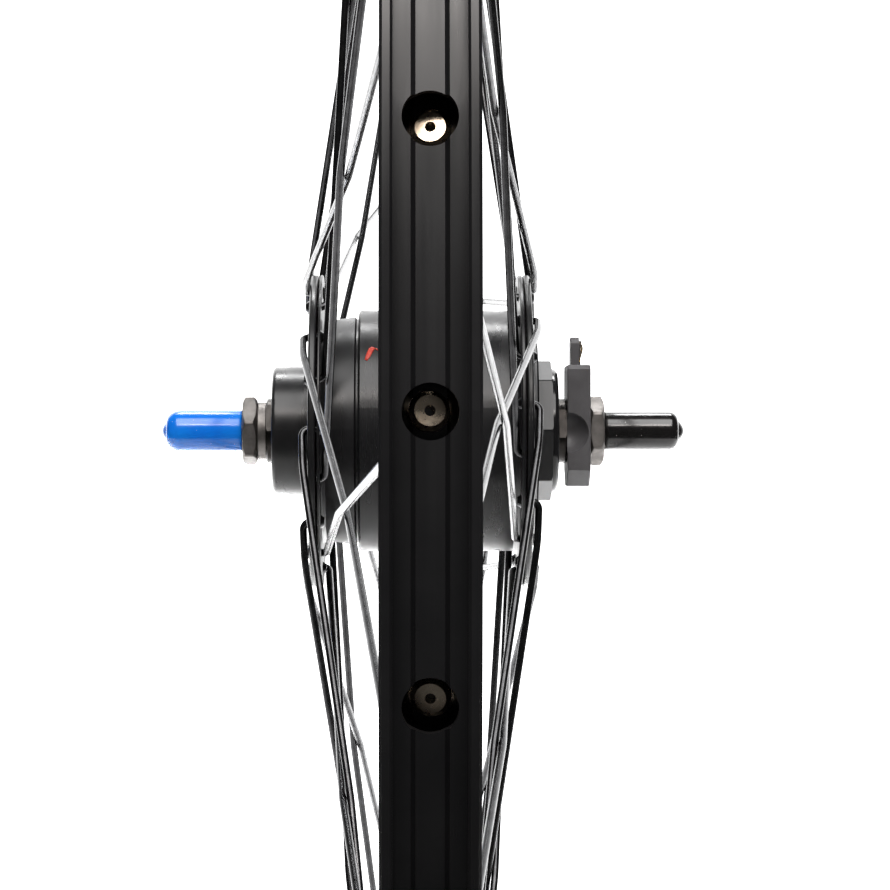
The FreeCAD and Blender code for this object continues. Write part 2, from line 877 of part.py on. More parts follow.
# ---------------------------------------------------------------- spokes and nipples
# Each spoke lies in a plane parallel to the axle. In its body that plane is parallel to XY, and the
# spoke runs along +X from its hub hole to the rim.

LACING = "(lacing_steps * hole_step * 1 deg)"
SLANT = f"atan2(spoke_end * sin({LACING}); spoke_end * cos({LACING}) - hole_circle)"
HOLE_X = f"(hole_circle * cos({SLANT}))"
HOLE_Z = f"(hole_circle * sin({SLANT}))"
END_X = f"(spoke_end * cos({SLANT} - {LACING}))"
CROSSING_ANGLE = "((lacing_steps - 0.5) * hole_step * 1 deg)"
CROSSING_X = f"({HOLE_X} + hole_circle * sin({CROSSING_ANGLE}) / sin({SLANT} - {CROSSING_ANGLE}))"


def turn_spokes(body, outside, angle):
    """Turn a group of spokes or nipples so that its first hub hole is at an angle round the axle."""
    turn = "-" if outside else "+"
    turn_about_axle(body, f"({angle}) * 1 deg {turn} {SLANT}")


def make_spokes(label, side, outside, face, back, crossing, angle):
    """Nine spokes of one flange whose elbows are all outside it, or all inside it."""
    body = new_body(label)
    plane_z = HOLE_Z if outside else f"-{HOLE_Z}"
    head_face = back if outside else face
    head_end = f"{head_face} - head_height" if outside else f"{head_face} + head_height"
    if outside:
        corners = [
            (HOLE_X, f"{side} * ({head_end})"),
            (HOLE_X, f"{side} * ({face} + elbow_rise)"),
            (f"{HOLE_X} + edge_run", f"{side} * ({face} + edge_rise)"),
            (CROSSING_X, f"{side} * ({crossing} - crossing_gap)"),
            (END_X, f"{side} * rim_offset"),
        ]
        radii = ["elbow_radius", "bend_radius", "bend_radius"]
    else:
        corners = [
            (HOLE_X, f"{side} * ({head_end})"),
            (HOLE_X, f"{side} * ({back} - elbow_drop)"),
            (CROSSING_X, f"{side} * ({crossing} + crossing_gap)"),
            (END_X, f"{side} * rim_offset"),
        ]
        radii = ["elbow_radius", "bend_radius"]
    path = new_sketch(body, lift=plane_z)
    add_bent_path(path, corners, radii)
    section = new_sketch(body, "XZ_Plane", lift=f"-({corners[0][1]})")
    add_circle(section, HOLE_X, plane_z, "spoke_radius")
    wire = add_feature(body, "AdditivePipe")
    wire.Profile = section
    wire.Spine = (path, [])
    head_sketch = new_sketch(body, lift=plane_z)
    bind(head_sketch, "AttachmentOffset.Base.x", HOLE_X)
    add_outline(head_sketch, [
        ("0", f"{side} * ({head_face})"),
        ("head_radius", f"{side} * ({head_face})"),
        ("head_radius * head_taper", f"{side} * ({head_end})"),
        ("0", f"{side} * ({head_end})"),
    ])
    head = revolve(body, head_sketch)
    repeat(body, [wire, head], "spoke_count")
    turn_spokes(body, outside, angle)


def make_nipples(label, side, outside, crossing, angle):
    """Nine nipples, each in line with the last run of its spoke."""
    body = new_body(label)
    passing = f"({crossing} - crossing_gap)" if outside else f"({crossing} + crossing_gap)"
    fall = f"atan2({side} * (rim_offset - {passing}); {END_X} - {CROSSING_X})"
    sketch = new_sketch(body, lift=HOLE_Z if outside else f"-{HOLE_Z}")
    sketch.AttachmentOffset = FreeCAD.Placement(V(0, 0, 0), FreeCAD.Rotation(V(0, 0, 1), value(fall)))
    bind(sketch, "AttachmentOffset.Base.x", END_X)
    bind(sketch, "AttachmentOffset.Base.y", f"{side} * rim_offset")
    seat = "(rim_foot + rim_wall + nipple_seat - spoke_end)"
    start = f"{seat} + nipple_head_height - nipple_length"
    add_outline(sketch, [
        (start, "spoke_radius + nipple_bore_gap"),
        (start, "nipple_radius - nipple_chamfer"),
        (f"{start} + nipple_chamfer", "nipple_radius"),
        (seat, "nipple_radius"),
        (f"{seat} + nipple_cone", "nipple_head_radius"),
        (f"{seat} + nipple_head_side", "nipple_head_radius"),
        (f"{seat} + nipple_head_height", "nipple_head_radius - nipple_head_dome"),
        (f"{seat} + nipple_head_height", "spoke_radius + nipple_bore_gap"),
    ])
    nipple = revolve(body, sketch, axis="H_Axis")
    repeat(body, [nipple], "spoke_count")
    turn_spokes(body, outside, angle)


# ---------------------------------------------------------------- lamp connector


def make_plate(label, corners, start, thickness):
    """A plate across the axle, from an outline of places along X and Z."""
    body = new_body(label)
    sketch = new_sketch(body, "XZ_Plane", lift=f"-({start})")
    add_outline(sketch, corners)
    pad = add_feature(body, "Pad")
    pad.Profile = sketch
    pad.Reversed = True
    bind(pad, "Length", thickness)
    return body


def round_plate(body, radius, face):
    """Fillet the edges round one face of a plate."""
    doc.recompute()
    base = body.Tip
    place = value(face)
    names = []
    for index, edge in enumerate(base.Shape.Edges, start=1):
        if all(abs(vertex.Point.y - place) < 0.001 for vertex in edge.Vertexes):
            names.append(f"Edge{index}")
    fillet = add_feature(body, "Fillet")
    fillet.Base = (base, names)
    bind(fillet, "Radius", radius)


def make_connector():
    """The plastic housing on the axle, with a scoop in each side, and the tongue on its top."""
    half = [
        ("connector_top", "connector_half - connector_chamfer"),
        ("connector_top - connector_chamfer", "connector_half"),
        ("connector_foot + connector_slope_z", "connector_half"),
        ("connector_foot", "connector_half - connector_slope_x"),
    ]
    outline = [(x, z) for z, x in half] + [(f"-({x})", z) for z, x in reversed(half)]
    width = "over_locknuts / 2 - nut_width - connector_start"
    body = make_plate("connector_body", outline, "connector_start", width)
    round_plate(body, "connector_round", "over_locknuts / 2 - nut_width")
    round_plate(body, "connector_back_round", "connector_start")
    primitive(
        body, "SubtractiveCylinder", (1, 0, 0, -90), y="connector_start - drill_margin",
        Radius="axle_radius", Height="connector_bore_depth",
    )
    for direction in ("1", "-1"):
        primitive(
            body, "SubtractiveSphere", x=f"{direction} * (connector_half + scoop_outside)",
            y="connector_start + scoop_inset", z="scoop_lift", Radius="scoop_radius",
        )
    tongue = make_plate("connector_terminal", [
        ("tongue_half", "connector_top"),
        ("tongue_half", "tongue_top - tongue_chamfer"),
        ("tongue_half - tongue_chamfer", "tongue_top"),
        ("-(tongue_half - tongue_chamfer)", "tongue_top"),
        ("-tongue_half", "tongue_top - tongue_chamfer"),
        ("-tongue_half", "connector_top"),
    ], "tongue_start", "tongue_thickness")
    round_plate(tongue, "tongue_round", "tongue_start + tongue_thickness")
    contacts = new_body("terminal_contacts")
    for direction in ("1", "-1"):
        primitive(
            contacts, "AdditiveBox", x=f"{direction} * contact_place - contact_half",
            y="tongue_start + tongue_thickness", z="connector_top + contact_foot",
            Length="2 * contact_half", Width="contact_thickness",
            Height="tongue_top - connector_top - contact_foot - contact_top_gap",
        )


# ---------------------------------------------------------------- axle caps


def make_cap(label, side, radius):
    """A vinyl cap over one end of the axle, with a domed end and a blunt nub at its tip."""
    body = turned(label, [
        ("0", f"{side} * cap_tip"),
        ("cap_nub_radius / 4", f"{side} * cap_tip"),
        ("cap_nub_radius", f"{side} * cap_dome_end"),
        (radius, f"{side} * cap_dome_end"),
        (radius, f"{side} * cap_mouth"),
        ("cap_bore", f"{side} * cap_mouth"),
        ("cap_bore", f"{side} * (axle_tip - axle_chamfer)"),
        ("cap_bore - cap_bore_chamfer", f"{side} * (axle_tip + cap_end_gap)"),
        ("0", f"{side} * (axle_tip + cap_end_gap)"),
    ])
    round_edges(body, f"({radius} - cap_nub_radius) * cap_dome_share", [(radius, f"{side} * cap_dome_end")])


# ---------------------------------------------------------------- the whole wheel


def make_axle_group():
    """Everything that stays still in the fork, and the caps that pull off."""
    make_axle()
    make_locknut("locknut_left", "-1", "-16")
    make_locknut("locknut_right", "1", "0")
    make_lock_washer()
    make_cone("cone_left", -1, "-(over_locknuts / 2 - nut_width - washer_width)", "ball_left", "26")
    make_cone("cone_right", 1, "connector_start", "ball_right", "14")
    make_sleeve("spacer_left", "ball_left + cone_reach", "-yoke_start - yoke_thickness")
    make_sleeve("spacer_right", "yoke_start + yoke_thickness", "ball_right - cone_reach")
    make_core()
    make_yoke("stator_yoke_left", "-1")
    make_yoke("stator_yoke_right", "1")
    make_coil()
    make_lead()
    make_connector()
    make_cap("axle_cap_left", "-1", "cap_left_radius")
    make_cap("axle_cap_right", "1", "cap_right_radius")


def make_hub():
    """Everything in the hub that turns, and the balls it turns on."""
    make_hub_shell()
    make_end_bell()
    make_flange_plate("flange_plate_left", "-left_face", "-left_thick_back", "wheel_turn")
    make_flange_plate("flange_plate_right", "right_thick_back", "right_face", "wheel_turn + hole_step / 2")
    make_bearing_housing()
    make_lid()
    make_dust_cap()
    make_cup("bearing_cup_left", -1, "ball_left")
    make_cup("bearing_cup_right", 1, "ball_right")
    make_seal("seal_left", "-housing_end + seal_left_sunk", "seal_left_width")
    make_seal("seal_right", "lid_end - seal_right_width", "seal_right_width")
    make_magnets()
    make_balls("left", -1, "ball_left")
    make_balls("right", 1, "ball_right")


def make_laced_rim():
    """The rim with its thirty-six spokes and nipples, in four groups of nine."""
    make_rim()
    make_rim_joint()
    for side_name, side, first in (("left", -1, "wheel_turn"), ("right", 1, "wheel_turn + hole_step / 2")):
        face, back, crossing = f"{side_name}_face", f"{side_name}_back", f"crossing_{side_name}"
        for place, outside, angle in (("outside", True, first), ("inside", False, f"{first} + hole_step")):
            make_spokes(f"spokes_{side_name}_{place}", side, outside, face, back, crossing, angle)
            make_nipples(f"nipples_{side_name}_{place}", side, outside, crossing, angle)


def check_and_export():
    """Stop on any failed object, then write each sub-part to its own file."""
    doc.recompute()
    for item in doc.Objects:
        if "Invalid" in item.State or "Error" in item.State:
            raise ValueError(f"{item.Name} of {item.getParentGroup()} failed: {item.State}")
    os.makedirs("parts", exist_ok=True)
    for body in finished:
        if body.Shape.isNull() or not body.Shape.isValid():
            raise ValueError(f"{body.Label} has no valid shape")
    for body in finished:
        body.Shape.exportStep(f"parts/{body.Label}.step")
        print(f"{body.Label}: {len(body.Shape.Solids)} solids, {body.Shape.Volume:.0f} cubic mm")


fill_sheet()
make_axle_group()
make_hub()
make_laced_rim()
check_and_export()
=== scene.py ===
import json
import math

import bmesh
import bpy
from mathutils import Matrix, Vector


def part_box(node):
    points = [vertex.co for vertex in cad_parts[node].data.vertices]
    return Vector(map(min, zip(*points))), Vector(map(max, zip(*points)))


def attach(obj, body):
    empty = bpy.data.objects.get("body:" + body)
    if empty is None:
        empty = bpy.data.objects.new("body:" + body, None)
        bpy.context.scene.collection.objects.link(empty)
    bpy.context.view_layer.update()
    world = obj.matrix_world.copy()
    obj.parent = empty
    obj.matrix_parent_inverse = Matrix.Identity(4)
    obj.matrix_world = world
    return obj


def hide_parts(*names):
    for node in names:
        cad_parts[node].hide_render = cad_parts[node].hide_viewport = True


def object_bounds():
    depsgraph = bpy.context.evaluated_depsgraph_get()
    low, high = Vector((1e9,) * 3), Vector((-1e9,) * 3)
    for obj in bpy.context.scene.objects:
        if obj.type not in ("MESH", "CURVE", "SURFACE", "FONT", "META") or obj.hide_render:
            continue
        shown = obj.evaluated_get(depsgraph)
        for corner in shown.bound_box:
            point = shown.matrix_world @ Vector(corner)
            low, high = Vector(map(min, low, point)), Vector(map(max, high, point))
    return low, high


# The looks of a bicycle front wheel with a hub dynamo. Metres, in the CAD model's frame:
# the axle along +Y with the lamp connector at its +Y end, +Z up, the wheel's centre at the origin.

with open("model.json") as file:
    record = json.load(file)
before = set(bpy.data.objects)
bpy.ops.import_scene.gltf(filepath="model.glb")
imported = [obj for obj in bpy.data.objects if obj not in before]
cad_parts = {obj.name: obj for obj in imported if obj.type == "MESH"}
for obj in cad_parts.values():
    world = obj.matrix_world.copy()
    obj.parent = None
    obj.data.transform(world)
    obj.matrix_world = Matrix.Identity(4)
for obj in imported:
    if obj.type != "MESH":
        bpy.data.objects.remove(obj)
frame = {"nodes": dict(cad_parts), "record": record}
cad_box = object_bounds()
NODES = frame["nodes"]
MM = 0.001
EDGE_WIDTH = 0.18 * MM


# ---------------------------------------------------------------- materials


class Finish:
    """A node material for one material slot, built round its Principled shader."""

    def __init__(self, name, **constants):
        self.material = bpy.data.materials.new(name)
        self.material.use_nodes = True
        self.tree = self.material.node_tree
        self.shader = self.tree.nodes["Principled BSDF"]
        for socket, number in constants.items():
            self.shader.inputs[socket.replace("_", " ")].default_value = number
        self.place = self.add("ShaderNodeTexCoord").outputs["Object"]

    def add(self, kind, inputs=(), **settings):
        """A node with its settings, and its inputs set or linked in order of (socket, source)."""
        made = self.tree.nodes.new(kind)
        for name, setting in settings.items():
            setattr(made, name, setting)
        for socket, source in inputs:
            if isinstance(source, bpy.types.NodeSocket):
                self.tree.links.new(source, made.inputs[socket])
            else:
                made.inputs[socket].default_value = source
        return made

    def link(self, source, socket):
        """Link an output to one of the shader's sockets."""
        self.tree.links.new(source, self.shader.inputs[socket])

    def noise(self, scale, detail=4.0, place=None, roughness=0.6):
        """A noise factor whose scale is in features per metre."""
        inputs = [("Vector", place or self.place), ("Scale", scale)]
        inputs += [("Detail", detail), ("Roughness", roughness)]
        return self.add("ShaderNodeTexNoise", inputs).outputs["Fac"]

    def stretched(self, x, y, z):
        """The place on the object, stretched along the row's axes."""
        return self.add("ShaderNodeMapping", [("Vector", self.place), ("Scale", (x, y, z))]).outputs["Vector"]

    def turned(self, around=0.02):
        """Distance from the axle and place along it, which draw rings about the axle on any face."""
        parts = self.add("ShaderNodeSeparateXYZ", [("Vector", self.place)])
        flat = self.add("ShaderNodeCombineXYZ", [("X", parts.outputs["X"]), ("Y", parts.outputs["Z"])])
        away = self.add("ShaderNodeVectorMath", [("Vector", flat.outputs["Vector"])], operation="LENGTH")
        drift = self.add(
            "ShaderNodeMath", [(0, parts.outputs["X"]), (1, around)], operation="MULTIPLY"
        ).outputs["Value"]
        rings = [("X", away.outputs["Value"]), ("Y", parts.outputs["Y"]), ("Z", drift)]
        return self.add("ShaderNodeCombineXYZ", rings).outputs["Vector"]

    def span(self, factor, low, high, start=0.3, end=0.7):
        """A factor moved from start..end to low..high."""
        inputs = [("Value", factor), ("From Min", start), ("From Max", end)]
        inputs += [("To Min", low), ("To Max", high)]
        return self.add("ShaderNodeMapRange", inputs).outputs["Result"]

    def blend(self, factor, first, second):
        """A colour between two others."""
        made = self.add("ShaderNodeMix", [("Factor", factor)], data_type="RGBA")
        for socket, source in ((made.inputs[6], first), (made.inputs[7], second)):
            if isinstance(source, bpy.types.NodeSocket):
                self.tree.links.new(source, socket)
            else:
                socket.default_value = (*source, 1.0)
        return made.outputs[2]

    def shades(self, factor, dark, light, start=0.3, end=0.7):
        """Base colour that wanders between two shades."""
        colour = self.blend(self.span(factor, 0.0, 1.0, start, end), dark, light)
        self.link(colour, "Base Color")
        return colour

    def gloss(self, factor, low, high, start=0.3, end=0.7):
        """Roughness that wanders between two numbers."""
        self.link(self.span(factor, low, high, start, end), "Roughness")

    def relief(self, *layers):
        """Bumps from (factor, height in metres) layers, one on top of the other."""
        normal = None
        for factor, height in layers:
            inputs = [("Height", factor), ("Distance", height), ("Strength", 1.0)]
            if normal is not None:
                inputs.append(("Normal", normal))
            normal = self.add("ShaderNodeBump", inputs).outputs["Normal"]
        self.link(normal, "Normal")

    def specks(self, colour, base, scale, share):
        """Small specks of another colour, such as dust."""
        inputs = [("Vector", self.place), ("Scale", scale)]
        spots = self.add("ShaderNodeTexVoronoi", inputs).outputs["Distance"]
        mask = self.span(spots, 1.0, 0.0, share * 0.6, share)
        self.link(self.blend(mask, base, colour), "Base Color")


def anodised(name, dark, light, low, high, ring_scale, ring_depth):
    """Black anodised aluminium with fine turning marks round the axle."""
    skin = Finish(name, Metallic=0.0, IOR=1.55, Specular_IOR_Level=0.5)
    rings = skin.noise(ring_scale, 3.0, skin.turned())
    patches = skin.noise(60.0, 5.0)
    skin.shades(patches, dark, light)
    skin.gloss(skin.noise(180.0, 4.0, skin.turned(0.4)), low, high)
    skin.relief((rings, ring_depth), (skin.noise(2200.0, 2.0), 0.0000015))
    return skin.material


def metal(name, dark, light, low, high, grain, depth, stretch=(1.0, 1.0, 1.0), **constants):
    """Bare or plated metal with grain, scratches and slightly uneven polish."""
    skin = Finish(name, Metallic=1.0, **constants)
    place = skin.stretched(*stretch)
    scratches = skin.noise(grain, 6.0, place, 0.7)
    skin.shades(skin.noise(grain / 6.0, 4.0, place), dark, light)
    skin.gloss(scratches, low, high)
    skin.relief((scratches, depth), (skin.noise(90.0, 2.0), depth * 2.0))
    return skin.material


def moulded(name, dark, light, low, high, grain, depth, **constants):
    """Moulded plastic or rubber with a fine surface grain."""
    skin = Finish(name, **constants)
    fine = skin.noise(grain, 3.0)
    skin.shades(skin.noise(120.0, 4.0), dark, light)
    skin.gloss(skin.noise(260.0, 5.0), low, high)
    skin.relief((fine, depth), (skin.noise(70.0, 2.0), depth * 3.0))
    return skin.material


def dipped_vinyl(name, dark, light, dust):
    """Glossy dipped vinyl, a little wavy, with specks of dust on it."""
    skin = Finish(name, IOR=1.5, Coat_Weight=0.6, Coat_Roughness=0.12, Specular_IOR_Level=0.55)
    colour = skin.shades(skin.noise(85.0, 3.0), dark, light)
    skin.specks(dust, colour, 620.0, 0.075)
    skin.gloss(skin.noise(330.0, 4.0), 0.14, 0.26)
    skin.relief((skin.noise(140.0, 2.0), 0.00006), (skin.noise(1500.0, 2.0), 0.000004))
    return skin.material


def wound_copper(name):
    """Enamelled copper wire laid in even turns."""
    skin = Finish(name, Metallic=1.0, Coat_Weight=0.5, Coat_Roughness=0.1)
    turns = skin.add(
        "ShaderNodeTexWave", [("Vector", skin.place), ("Scale", 330.0), ("Distortion", 0.4)],
        wave_type="BANDS", bands_direction="Y", wave_profile="SIN",
    ).outputs["Fac"]
    skin.shades(turns, (0.28, 0.07, 0.02), (0.86, 0.36, 0.16), 0.1, 0.8)
    skin.gloss(skin.noise(500.0), 0.2, 0.4)
    skin.relief((turns, 0.0002))
    return skin.material


def finishes():
    """One finished material for each material slot of the record."""
    black, grey = (0.008, 0.008, 0.009), (0.014, 0.014, 0.015)
    steel, pale = (0.42, 0.41, 0.40), (0.66, 0.65, 0.64)
    iron, scale = (0.13, 0.12, 0.12), (0.30, 0.29, 0.28)
    return {
        "black_anodised": anodised("black_anodised", black, grey, 0.24, 0.36, 2600.0, 0.000012),
        "rim_black": anodised("rim_black", black, grey, 0.26, 0.40, 260.0, 0.000006),
        "gloss_black": moulded("gloss_black", black, grey, 0.10, 0.20, 900.0, 0.000004, IOR=1.5),
        "axle_steel": metal("axle_steel", steel, pale, 0.28, 0.45, 900.0, 0.000006, (1.0, 6.0, 1.0)),
        "nut_steel": metal(
            "nut_steel", (0.13, 0.12, 0.113), (0.30, 0.283, 0.27), 0.40, 0.60, 700.0, 0.000012,
        ),
        "cone_steel": metal(
            "cone_steel", (0.02, 0.0185, 0.0175), (0.05, 0.046, 0.043), 0.24, 0.42, 800.0, 0.000008,
        ),
        "soft_iron": metal("soft_iron", iron, scale, 0.4, 0.6, 500.0, 0.00002),
        "retainer_steel": metal("retainer_steel", steel, pale, 0.25, 0.4, 700.0, 0.000008),
        "bearing_steel": metal(
            "bearing_steel", (0.6, 0.6, 0.62), (0.75, 0.75, 0.77), 0.06, 0.14, 1600.0, 0.000001,
        ),
        "spoke_steel": metal(
            "spoke_steel", (0.05, 0.05, 0.052), (0.10, 0.10, 0.103), 0.18, 0.28, 1300.0, 0.0000015,
        ),
        "nipple_brass": metal(
            "nipple_brass", (0.66, 0.52, 0.38), (0.88, 0.76, 0.60), 0.22, 0.4, 900.0, 0.00001,
        ),
        "plain_aluminium": metal(
            "plain_aluminium", (0.55, 0.56, 0.57), (0.75, 0.76, 0.77), 0.3, 0.5, 600.0, 0.00001,
        ),
        "gilded_contact": metal(
            "gilded_contact", (0.75, 0.42, 0.08), (1.0, 0.66, 0.18), 0.16, 0.3, 900.0, 0.000004,
        ),
        "connector_plastic": moulded(
            "connector_plastic", (0.085, 0.082, 0.086), (0.115, 0.112, 0.117),
            0.34, 0.5, 2600.0, 0.000012, IOR=1.53,
        ),
        "bobbin_plastic": moulded(
            "bobbin_plastic", (0.62, 0.58, 0.48), (0.78, 0.74, 0.64), 0.4, 0.55, 1500.0, 0.00001,
        ),
        "seal_rubber": moulded(
            "seal_rubber", (0.01, 0.01, 0.01), (0.022, 0.022, 0.022), 0.55, 0.75, 1700.0, 0.00002,
        ),
        "lead_insulation": moulded(
            "lead_insulation", (0.42, 0.02, 0.015), (0.6, 0.04, 0.03), 0.4, 0.55, 1200.0, 0.00001,
        ),
        "magnet": moulded("magnet", (0.03, 0.03, 0.034), (0.07, 0.07, 0.076), 0.5, 0.7, 1100.0, 0.00003),
        "copper": wound_copper("copper"),
        "blue_vinyl": dipped_vinyl("blue_vinyl", (0.002, 0.19, 0.88), (0.004, 0.26, 0.96), (0.5, 0.65, 0.95)),
        "black_vinyl": dipped_vinyl(
            "black_vinyl", (0.004, 0.004, 0.004), (0.009, 0.008, 0.008), (0.35, 0.33, 0.32),
        ),
    }


def dress_nodes(materials):
    """Give every CAD node the finish of its own slot."""
    for part in frame["record"]["subparts"]:
        for place in NODES[part["node"]].material_slots:
            place.material = materials[part["material_slot"]]


# ---------------------------------------------------------------- mesh pieces


def mesh_piece(name, points, faces, material, body, slot):
    """A mesh object with smooth faces that rides on a body."""
    data = bpy.data.meshes.new(name)
    data.from_pydata(points, [], faces)
    data.validate()
    piece = bpy.data.objects.new(name, data)
    bpy.context.scene.collection.objects.link(piece)
    data.materials.append(material)
    for face in data.polygons:
        face.use_smooth = True
    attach(piece, body)
    return piece


def grid_faces(rows, columns, closed):
    """Quads over a grid of points, joined round its columns if it is closed."""
    faces = []
    for row in range(rows - 1):
        for column in range(columns if closed else columns - 1):
            after = (column + 1) % columns
            faces.append((
                row * columns + column, row * columns + after,
                (row + 1) * columns + after, (row + 1) * columns + column,
            ))
    return faces


# The axle's measures, in millimetres
AXLE_RADIUS = 4.5
AXLE_TIP = 68.0
THREAD_START = 44.0
THREAD_PITCH = 1.0
THREAD_DEPTH = 0.56
THREAD_STEPS, STEPS_PER_PITCH = 190, 8
FLANK_SLOPE, CREST_FLAT = 2.4, 0.15
AXLE_CHAMFER = 1.2
AXLE_SIDES = 60
GROOVE_START, GROOVE_END = 12.0, 42.6
GROOVE_HALF, GROOVE_FLOOR = 0.7, 2.9
GROOVE_WALL = 0.02


def axle_radius(angle, y):
    """The radius of the threaded axle's surface at an angle round it and a place along it."""
    chamfer = AXLE_RADIUS - AXLE_CHAMFER + (AXLE_TIP - abs(y))
    if abs(y) < THREAD_START:
        return min(AXLE_RADIUS, chamfer)
    phase = (y / THREAD_PITCH - angle / math.tau) % 1.0
    flank = min(max(abs(phase - 0.5) * FLANK_SLOPE - CREST_FLAT, 0.0), 1.0)
    return min(AXLE_RADIUS - THREAD_DEPTH * flank, chamfer)


def axle_row(y, grooved):
    """One ring of the axle's points, with the two sides and the floor of the groove at its top."""
    edge = math.degrees(math.asin(GROOVE_HALF / AXLE_RADIUS))
    angles = [90.0 + edge + (360.0 - 2.0 * edge) * step / AXLE_SIDES for step in range(AXLE_SIDES + 1)]
    ring = []
    for angle in (math.radians(degrees) for degrees in angles):
        radius = axle_radius(angle, y)
        ring.append((radius * math.cos(angle) * MM, y * MM, radius * math.sin(angle) * MM))
    for x in (GROOVE_HALF, 0.0, -GROOVE_HALF):
        if grooved:
            ring.append((x * MM, y * MM, GROOVE_FLOOR * MM))
        else:
            angle = math.radians(90.0 - x / GROOVE_HALF * edge * 0.9)
            radius = axle_radius(angle, y)
            ring.append((radius * math.cos(angle) * MM, y * MM, radius * math.sin(angle) * MM))
    return ring


def make_axle(material):
    """The axle with its real thread at both ends and the lead's groove along its top."""
    outer = [THREAD_START + step * THREAD_PITCH / STEPS_PER_PITCH for step in range(THREAD_STEPS)]
    outer.append(AXLE_TIP)
    places = [(-y, False) for y in reversed(outer)]
    places += [(GROOVE_START - GROOVE_WALL, False), (GROOVE_START, True)]
    places += [(GROOVE_END, True), (GROOVE_END + GROOVE_WALL, False)]
    places += [(y, False) for y in outer]
    rows = [axle_row(y, grooved) for y, grooved in places]
    columns = len(rows[0])
    points = [point for row in rows for point in row]
    faces = grid_faces(len(rows), columns, closed=True)
    faces.append(tuple(range(columns)))
    faces.append(tuple(reversed(range(len(points) - columns, len(points)))))
    axle = mesh_piece("threaded_axle", points, faces, material, "axle_assembly", "axle_steel")
    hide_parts("axle")


# The connector's tongue and its contacts, in millimetres
TONGUE_THICKNESS, TONGUE_CORNER = 2.3, 1.6
RIB_HALF = 0.7
CONTACT_HALF, CONTACT_BOW, CONTACT_THICKNESS = 0.8, 0.8, 0.3
CONTACT_STATIONS = 17


def extruded(shape, outline, start, end):
    """Add a plate across the axle to a bmesh, from an outline of (x, z) places in millimetres."""
    sides = []
    for y in (start, end):
        sides.append([shape.verts.new((x * MM, y * MM, z * MM)) for x, z in outline])
    near, far = sides
    shape.faces.new(near)
    shape.faces.new(list(reversed(far)))
    for index in range(len(outline)):
        after = (index + 1) % len(outline)
        shape.faces.new((near[after], near[index], far[index], far[after]))


def make_tongue(material):
    """The connector's tongue: a thin plate with a rib and a latch between its two contacts."""
    low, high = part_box("connector_terminal")
    half, foot, top = high.x / MM, low.z / MM, high.z / MM
    back, face, ribs = low.y / MM, low.y / MM + TONGUE_THICKNESS, high.y / MM
    shape = bmesh.new()
    plate = [(half, foot), (half, top - TONGUE_CORNER), (half - TONGUE_CORNER, top)]
    extruded(shape, plate + [(-x, z) for x, z in reversed(plate)], back, face)
    for start, end, reach in ((foot, top - 1.9, ribs - 0.2), (top - 2.4, top - 0.9, ribs)):
        rib = [(RIB_HALF, start), (RIB_HALF, end), (-RIB_HALF, end), (-RIB_HALF, start)]
        extruded(shape, rib, face, reach)
    bmesh.ops.recalc_face_normals(shape, faces=shape.faces)
    data = bpy.data.meshes.new("terminal_tongue")
    shape.to_mesh(data)
    shape.free()
    tongue = bpy.data.objects.new("terminal_tongue", data)
    bpy.context.scene.collection.objects.link(tongue)
    data.materials.append(material)
    bevel = tongue.modifiers.new("edges", "BEVEL")
    bevel.width = EDGE_WIDTH
    bevel.segments = 2
    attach(tongue, "axle_assembly")
    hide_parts("connector_terminal")


def make_contacts(material):
    """Two sprung contact strips that bow out of the tongue's face."""
    low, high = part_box("terminal_contacts")
    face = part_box("connector_terminal")[0].y + TONGUE_THICKNESS * MM
    half, bow, thickness = CONTACT_HALF * MM, CONTACT_BOW * MM, CONTACT_THICKNESS * MM
    points, faces = [], []
    for x in (low.x + half, high.x - half):
        first = len(points)
        for station in range(CONTACT_STATIONS):
            share = station / (CONTACT_STATIONS - 1)
            z = low.z + (high.z - low.z) * share
            y = face + bow * math.sin(math.pi * share ** 1.8) ** 0.8
            for side, out in ((-half, 0.0), (half, 0.0), (half, thickness), (-half, thickness)):
                points.append((x + side, y + out, z))
        for quad in grid_faces(CONTACT_STATIONS, 4, closed=True):
            faces.append(tuple(first + corner for corner in quad))
        last = first + 4 * (CONTACT_STATIONS - 1)
        faces += [(first, first + 1, first + 2, first + 3), (last + 3, last + 2, last + 1, last)]
    springs = mesh_piece("contact_springs", points, faces, material, "axle_assembly", "gilded_contact")
    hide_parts("terminal_contacts")


# The caps' measures, in millimetres, and the points that round them
CAP_MOUTH, CAP_TIP, CAP_BORE, CAP_FLOOR = 50.2, 72.5, 4.6, 68.4
DOME_STEPS, NUB_STEPS, CAP_SIDES = 24, 12, 72
NUB_ROUNDING = 0.6


